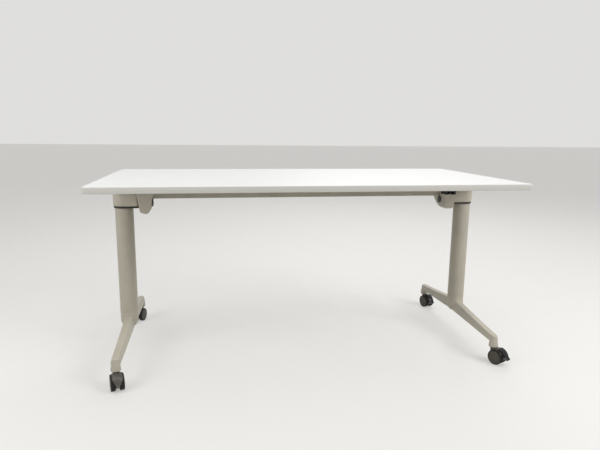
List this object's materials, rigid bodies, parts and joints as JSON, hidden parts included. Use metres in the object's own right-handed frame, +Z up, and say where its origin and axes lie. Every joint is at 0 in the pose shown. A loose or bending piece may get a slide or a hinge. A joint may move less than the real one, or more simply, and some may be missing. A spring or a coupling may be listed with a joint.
{
  "type": "flip top training table",
  "caption": "Rectangular table whose top tilts up to the rear on hinges, carried by T-legs with round posts, cast feet and twin-wheel castors, with a release lever under the top.",
  "frame": {"origin": "on the floor under the centre of the top", "axes": "+X along the top's length, +Y towards the edge that drops when the top is tilted, +Z up"},
  "size_m": [1.6, 0.8, 0.735],
  "materials": {
    "white_laminate": "white melamine laminate on particle board",
    "white_edge": "white plastic edging",
    "grey_casting": "light warm grey powder coat",
    "grey_tube": "light warm grey powder coat",
    "black_steel": "black powder coat",
    "steel": "zinc plated",
    "bronze": "sintered bush",
    "black_plastic": "moulded, fine grain",
    "hood_plastic": "moulded, satin gloss",
    "disc_plastic": "moulded",
    "tyre_rubber": "soft tread"
  },
  "bodies": {
    "frame": {"foot_left": "grey_casting", "foot_right": "grey_casting", "post_left": "grey_tube", "post_right": "grey_tube", "head_plate_left": "black_steel", "head_plate_right": "black_steel", "head_left": "grey_casting", "head_right": "grey_casting", "hinge_housing_left": "grey_casting", "hinge_housing_right": "grey_casting", "pivot_pin_left": "steel", "pivot_pin_right": "steel", "pivot_cap_left": "black_plastic", "pivot_cap_right": "black_plastic", "latch_block_left": "black_plastic", "latch_block_right": "black_plastic", "beam": "grey_tube", "return_spring": "steel", "castor_stem_front_left": "steel", "castor_stem_front_right": "steel", "castor_stem_rear_left": "steel", "castor_stem_rear_right": "steel"},
    "top": {"tabletop_board": "white_laminate", "edge_band": "white_edge", "tilt_bracket_left": "black_steel", "tilt_bracket_right": "black_steel", "pivot_bush_left": "bronze", "pivot_bush_right": "bronze"},
    "release": {"sync_shaft": "steel", "release_lever": "grey_casting", "pawl_left": "steel", "pawl_right": "steel"},
    "castor_front_left": {"castor_hood_front_left": "hood_plastic", "castor_axle_front_left": "steel"},
    "wheel_front_left_inner": {"wheel_disc_front_left_inner": "disc_plastic", "tyre_front_left_inner": "tyre_rubber"},
    "wheel_front_left_outer": {"wheel_disc_front_left_outer": "disc_plastic", "tyre_front_left_outer": "tyre_rubber"},
    "castor_front_right": {"castor_hood_front_right": "hood_plastic", "castor_axle_front_right": "steel"},
    "wheel_front_right_inner": {"wheel_disc_front_right_inner": "disc_plastic", "tyre_front_right_inner": "tyre_rubber"},
    "wheel_front_right_outer": {"wheel_disc_front_right_outer": "disc_plastic", "tyre_front_right_outer": "tyre_rubber"},
    "pedal_front_right": {"brake_pedal_front_right": "black_plastic"},
    "castor_rear_left": {"castor_hood_rear_left": "hood_plastic", "castor_axle_rear_left": "steel"},
    "wheel_rear_left_inner": {"wheel_disc_rear_left_inner": "disc_plastic", "tyre_rear_left_inner": "tyre_rubber"},
    "wheel_rear_left_outer": {"wheel_disc_rear_left_outer": "disc_plastic", "tyre_rear_left_outer": "tyre_rubber"},
    "castor_rear_right": {"castor_hood_rear_right": "hood_plastic", "castor_axle_rear_right": "steel"},
    "wheel_rear_right_inner": {"wheel_disc_rear_right_inner": "disc_plastic", "tyre_rear_right_inner": "tyre_rubber"},
    "wheel_rear_right_outer": {"wheel_disc_rear_right_outer": "disc_plastic", "tyre_rear_right_outer": "tyre_rubber"},
    "pedal_rear_right": {"brake_pedal_rear_right": "black_plastic"}
  },
  "joints": [
    {"name": "top_tilt", "type": "hinge", "parent": "frame", "child": "top", "pos_m": [0, 0.02, 0.626], "axis": [-1, 0, 0], "range_deg": [0, 90]},
    {"name": "release_pull", "type": "hinge", "parent": "frame", "child": "release", "pos_m": [0, -0.018, 0.672], "axis": [-1, 0, 0], "range_deg": [0, 20], "stiffness_Nm_per_rad": 0.6, "springref_deg": -28.65},
    {"name": "swivel_front_left", "type": "hinge", "parent": "frame", "child": "castor_front_left", "pos_m": [-0.737, -0.32, 0.065], "axis": [0, 0, 1], "continuous": true},
    {"name": "roll_front_left_inner", "type": "hinge", "parent": "castor_front_left", "child": "wheel_front_left_inner", "pos_m": [-0.73094, -0.34115, 0.03], "axis": [0.9613, 0.2756, 0], "continuous": true},
    {"name": "roll_front_left_outer", "type": "hinge", "parent": "castor_front_left", "child": "wheel_front_left_outer", "pos_m": [-0.73094, -0.34115, 0.03], "axis": [0.9613, 0.2756, 0], "continuous": true},
    {"name": "swivel_front_right", "type": "hinge", "parent": "frame", "child": "castor_front_right", "pos_m": [0.737, -0.32, 0.065], "axis": [0, 0, 1], "continuous": true},
    {"name": "roll_front_right_inner", "type": "hinge", "parent": "castor_front_right", "child": "wheel_front_right_inner", "pos_m": [0.74664, -0.33977, 0.03], "axis": [0.8988, 0.4384, 0], "continuous": true},
    {"name": "roll_front_right_outer", "type": "hinge", "parent": "castor_front_right", "child": "wheel_front_right_outer", "pos_m": [0.74664, -0.33977, 0.03], "axis": [0.8988, 0.4384, 0], "continuous": true},
    {"name": "brake_front_right", "type": "hinge", "parent": "castor_front_right", "child": "pedal_front_right", "pos_m": [0.7494, -0.34542, 0.0656], "axis": [0.8988, 0.4384, 0], "range_deg": [0, 8]},
    {"name": "swivel_rear_left", "type": "hinge", "parent": "frame", "child": "castor_rear_left", "pos_m": [-0.737, 0.38, 0.065], "axis": [0, 0, 1], "continuous": true},
    {"name": "roll_rear_left_inner", "type": "hinge", "parent": "castor_rear_left", "child": "wheel_rear_left_inner", "pos_m": [-0.74343, 0.35896, 0.03], "axis": [0.9563, -0.2924, 0], "continuous": true},
    {"name": "roll_rear_left_outer", "type": "hinge", "parent": "castor_rear_left", "child": "wheel_rear_left_outer", "pos_m": [-0.74343, 0.35896, 0.03], "axis": [0.9563, -0.2924, 0], "continuous": true},
    {"name": "swivel_rear_right", "type": "hinge", "parent": "frame", "child": "castor_rear_right", "pos_m": [0.737, 0.38, 0.065], "axis": [0, 0, 1], "continuous": true},
    {"name": "roll_rear_right_inner", "type": "hinge", "parent": "castor_rear_right", "child": "wheel_rear_right_inner", "pos_m": [0.74232, 0.35865, 0.03], "axis": [0.9703, 0.2419, 0], "continuous": true},
    {"name": "roll_rear_right_outer", "type": "hinge", "parent": "castor_rear_right", "child": "wheel_rear_right_outer", "pos_m": [0.74232, 0.35865, 0.03], "axis": [0.9703, 0.2419, 0], "continuous": true},
    {"name": "brake_rear_right", "type": "hinge", "parent": "castor_rear_right", "child": "pedal_rear_right", "pos_m": [0.74384, 0.35256, 0.0656], "axis": [0.9703, 0.2419, 0], "range_deg": [0, 8]}
  ]
}
